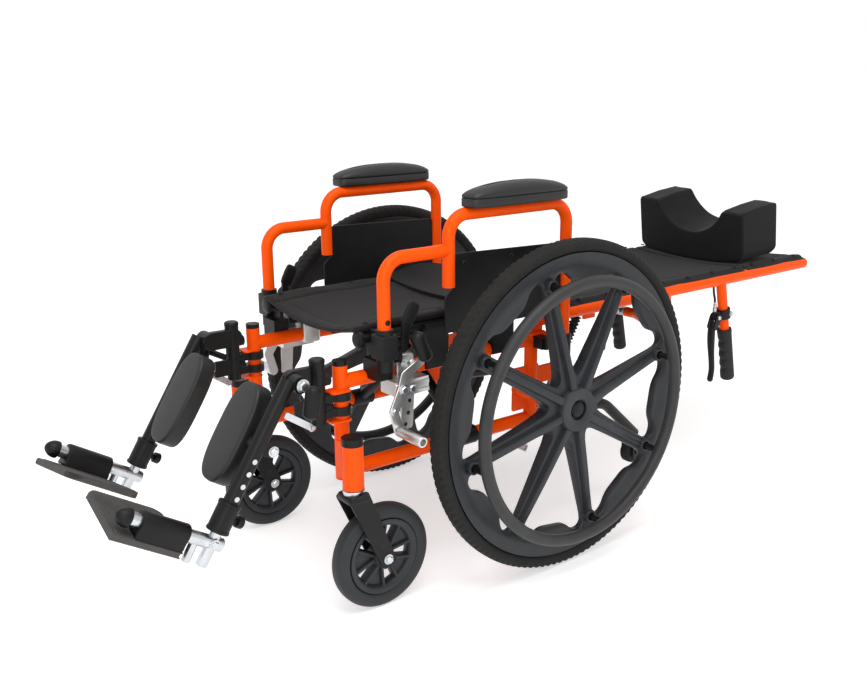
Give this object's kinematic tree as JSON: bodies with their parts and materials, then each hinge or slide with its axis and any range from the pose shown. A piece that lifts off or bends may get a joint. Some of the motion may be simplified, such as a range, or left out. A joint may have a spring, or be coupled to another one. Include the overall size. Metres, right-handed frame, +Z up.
{
  "type": "reclining wheelchair",
  "caption": "Manual wheelchair with a flat-reclining back, head pillow, removable desk arms, elevating legrests, moulded spoke wheels and anti-tippers.",
  "frame": {"origin": "on the floor, under the middle of the rear axle", "axes": "+Z up, -Y forward towards the feet, +X to the user's left"},
  "size_m": [0.682, 1.6969, 0.709],
  "materials": {
    "orange_paint": "gloss powder coat",
    "black_paint": "satin powder coat",
    "black_plastic": "moulded",
    "wheel_plastic": "moulded",
    "tyre": "matt rubber",
    "grip_rubber": "matt rubber",
    "zinc": "zinc plate",
    "aluminium": "satin",
    "fabric": "coated woven nylon",
    "pad": "moulded foam skin",
    "plate_plastic": "ribbed composite"
  },
  "bodies": {
    "frame": {"side_frame_left": "orange_paint", "side_frame_right": "orange_paint", "frame_caps": "black_plastic", "axles": "zinc", "cross_brace_a": "black_paint", "cross_brace_b": "black_paint", "seat_saddles": "black_plastic", "seat_sling": "fabric", "arm_sockets": "black_plastic", "latch_knobs": "black_plastic", "brake_bases": "aluminium", "anti_tippers": "black_paint"},
    "backrest": {"back_cane_left": "orange_paint", "back_cane_right": "orange_paint", "push_grips": "grip_rubber", "lever_clamps": "black_plastic", "recline_cables": "grip_rubber", "spreader_bar": "orange_paint", "spreader_hinge": "zinc", "back_sling": "fabric", "head_sling": "fabric", "head_pillow": "fabric"},
    "wheel_left": {"rear_wheel_left": "wheel_plastic", "tyre_left": "tyre", "handrim_left": "wheel_plastic"},
    "fork_left": {"caster_fork_left": "black_paint"},
    "caster_left": {"caster_wheel_left": "tyre"},
    "lever_left": {"hand_lever_left": "black_paint"},
    "lock_left": {"lock_housing_left": "zinc"},
    "rod_left": {"lock_rod_left": "zinc"},
    "arm_left": {"arm_frame_left": "orange_paint", "arm_pad_left": "pad", "skirt_guard_left": "black_plastic"},
    "latch_left": {"arm_latch_left": "black_plastic"},
    "brake_left": {"brake_lever_left": "aluminium"},
    "tipper_left": {"tip_wheel_left": "tyre"},
    "hanger_left": {"leg_hanger_left": "black_paint"},
    "leg_left": {"leg_tube_left": "black_paint"},
    "calf_left": {"calf_pad_left": "pad"},
    "foot_left": {"foot_tube_left": "zinc"},
    "plate_left": {"footplate_left": "plate_plastic"},
    "wheel_right": {"rear_wheel_right": "wheel_plastic", "tyre_right": "tyre", "handrim_right": "wheel_plastic"},
    "fork_right": {"caster_fork_right": "black_paint"},
    "caster_right": {"caster_wheel_right": "tyre"},
    "lever_right": {"hand_lever_right": "black_paint"},
    "lock_right": {"lock_housing_right": "zinc"},
    "rod_right": {"lock_rod_right": "zinc"},
    "arm_right": {"arm_frame_right": "orange_paint", "arm_pad_right": "pad", "skirt_guard_right": "black_plastic"},
    "latch_right": {"arm_latch_right": "black_plastic"},
    "brake_right": {"brake_lever_right": "aluminium"},
    "tipper_right": {"tip_wheel_right": "tyre"},
    "hanger_right": {"leg_hanger_right": "black_paint"},
    "leg_right": {"leg_tube_right": "black_paint"},
    "calf_right": {"calf_pad_right": "pad"},
    "foot_right": {"foot_tube_right": "zinc"},
    "plate_right": {"footplate_right": "plate_plastic"}
  },
  "joints": [
    {"name": "recline", "type": "hinge", "parent": "frame", "child": "backrest", "pos_m": [0, 0.045, 0.43], "axis": [1, 0, 0], "range_deg": [0, 80]},
    {"name": "wheel_spin_left", "type": "hinge", "parent": "frame", "child": "wheel_left", "pos_m": [0.281, 0, 0.305], "axis": [1, 0, 0], "continuous": true},
    {"name": "caster_swivel_left", "type": "hinge", "parent": "frame", "child": "fork_left", "pos_m": [0.2, -0.408, 0.25], "axis": [0, 0, 1], "continuous": true},
    {"name": "caster_spin_left", "type": "hinge", "parent": "fork_left", "child": "caster_left", "pos_m": [0.2, -0.358, 0.093], "axis": [1, 0, 0], "continuous": true},
    {"name": "lever_squeeze_left", "type": "hinge", "parent": "backrest", "child": "lever_left", "pos_m": [0.164, 0.5766, 0.35574], "axis": [1, 0, 0], "range_deg": [0, 8], "stiffness_Nm_per_rad": 1.5},
    {"name": "lock_turn_left", "type": "hinge", "parent": "frame", "child": "lock_left", "pos_m": [0.124, 0.12125, 0.31259], "axis": [1, 0, 0], "range_deg": [0, 41]},
    {"name": "rod_turn_left", "type": "hinge", "parent": "backrest", "child": "rod_left", "pos_m": [0.124, 0.18491, 0.42511], "axis": [1, 0, 0], "range_deg": [-41, 0]},
    {"name": "arm_lift_left", "type": "slide", "parent": "frame", "child": "arm_left", "axis": [0, 0, 1], "range_m": [0, 0.14]},
    {"name": "latch_press_left", "type": "hinge", "parent": "frame", "child": "latch_left", "pos_m": [0.196, -0.304, 0.448], "axis": [1, 0, 0], "range_deg": [0, 20], "stiffness_Nm_per_rad": 0.8},
    {"name": "brake_swing_left", "type": "hinge", "parent": "frame", "child": "brake_left", "pos_m": [0.18, -0.3, 0.374], "axis": [1, 0, 0], "range_deg": [0, 10.5]},
    {"name": "tip_spin_left", "type": "hinge", "parent": "frame", "child": "tipper_left", "pos_m": [0.1535, 0.326, 0.098], "axis": [1, 0, 0], "continuous": true},
    {"name": "leg_swing_left", "type": "hinge", "parent": "frame", "child": "hanger_left", "pos_m": [0.1535, -0.3985, 0.365], "axis": [0, 0, 1], "range_deg": [0, 75]},
    {"name": "leg_raise_left", "type": "hinge", "parent": "hanger_left", "child": "leg_left", "pos_m": [0.16, -0.486, 0.417], "axis": [-1, 0, 0], "range_deg": [-18, 50]},
    {"name": "calf_tilt_left", "type": "hinge", "parent": "leg_left", "child": "calf_left", "pos_m": [0.14, -0.55985, 0.33033], "axis": [1, 0, 0], "range_deg": [-8, 8]},
    {"name": "foot_slide_left", "type": "slide", "parent": "leg_left", "child": "foot_left", "axis": [0, -0.5344, -0.8453], "range_m": [0, 0.05]},
    {"name": "plate_flip_left", "type": "hinge", "parent": "foot_left", "child": "plate_left", "pos_m": [0.167, -0.71457, 0.2353], "axis": [0, 0.8453, -0.5344], "range_deg": [0, 75]},
    {"name": "wheel_spin_right", "type": "hinge", "parent": "frame", "child": "wheel_right", "pos_m": [-0.281, 0, 0.305], "axis": [1, 0, 0], "continuous": true},
    {"name": "caster_swivel_right", "type": "hinge", "parent": "frame", "child": "fork_right", "pos_m": [-0.2, -0.408, 0.25], "axis": [0, 0, 1], "continuous": true},
    {"name": "caster_spin_right", "type": "hinge", "parent": "fork_right", "child": "caster_right", "pos_m": [-0.2, -0.358, 0.093], "axis": [1, 0, 0], "continuous": true},
    {"name": "lever_squeeze_right", "type": "hinge", "parent": "backrest", "child": "lever_right", "pos_m": [-0.164, 0.5766, 0.35574], "axis": [1, 0, 0], "range_deg": [0, 8], "stiffness_Nm_per_rad": 1.5},
    {"name": "lock_turn_right", "type": "hinge", "parent": "frame", "child": "lock_right", "pos_m": [-0.124, 0.12125, 0.31259], "axis": [1, 0, 0], "range_deg": [0, 41]},
    {"name": "rod_turn_right", "type": "hinge", "parent": "backrest", "child": "rod_right", "pos_m": [-0.124, 0.18491, 0.42511], "axis": [1, 0, 0], "range_deg": [-41, 0]},
    {"name": "arm_lift_right", "type": "slide", "parent": "frame", "child": "arm_right", "axis": [0, 0, 1], "range_m": [0, 0.14]},
    {"name": "latch_press_right", "type": "hinge", "parent": "frame", "child": "latch_right", "pos_m": [-0.196, -0.304, 0.448], "axis": [1, 0, 0], "range_deg": [0, 20], "stiffness_Nm_per_rad": 0.8},
    {"name": "brake_swing_right", "type": "hinge", "parent": "frame", "child": "brake_right", "pos_m": [-0.18, -0.3, 0.374], "axis": [1, 0, 0], "range_deg": [0, 10.5]},
    {"name": "tip_spin_right", "type": "hinge", "parent": "frame", "child": "tipper_right", "pos_m": [-0.1535, 0.326, 0.098], "axis": [1, 0, 0], "continuous": true},
    {"name": "leg_swing_right", "type": "hinge", "parent": "frame", "child": "hanger_right", "pos_m": [-0.1535, -0.3985, 0.365], "axis": [0, 0, -1], "range_deg": [0, 75]},
    {"name": "leg_raise_right", "type": "hinge", "parent": "hanger_right", "child": "leg_right", "pos_m": [-0.16, -0.486, 0.417], "axis": [-1, 0, 0], "range_deg": [-18, 50]},
    {"name": "calf_tilt_right", "type": "hinge", "parent": "leg_right", "child": "calf_right", "pos_m": [-0.14, -0.55985, 0.33033], "axis": [1, 0, 0], "range_deg": [-8, 8]},
    {"name": "foot_slide_right", "type": "slide", "parent": "leg_right", "child": "foot_right", "axis": [0, -0.5344, -0.8453], "range_m": [0, 0.05]},
    {"name": "plate_flip_right", "type": "hinge", "parent": "foot_right", "child": "plate_right", "pos_m": [-0.167, -0.71457, 0.2353], "axis": [0, -0.8453, 0.5344], "range_deg": [0, 75]}
  ],
  "couplings": [
    {"joint": "lock_turn_left", "follows": "recline", "ratio": 0.5},
    {"joint": "rod_turn_left", "follows": "recline", "ratio": -0.5},
    {"joint": "lock_turn_right", "follows": "recline", "ratio": 0.5},
    {"joint": "rod_turn_right", "follows": "recline", "ratio": -0.5}
  ]
}
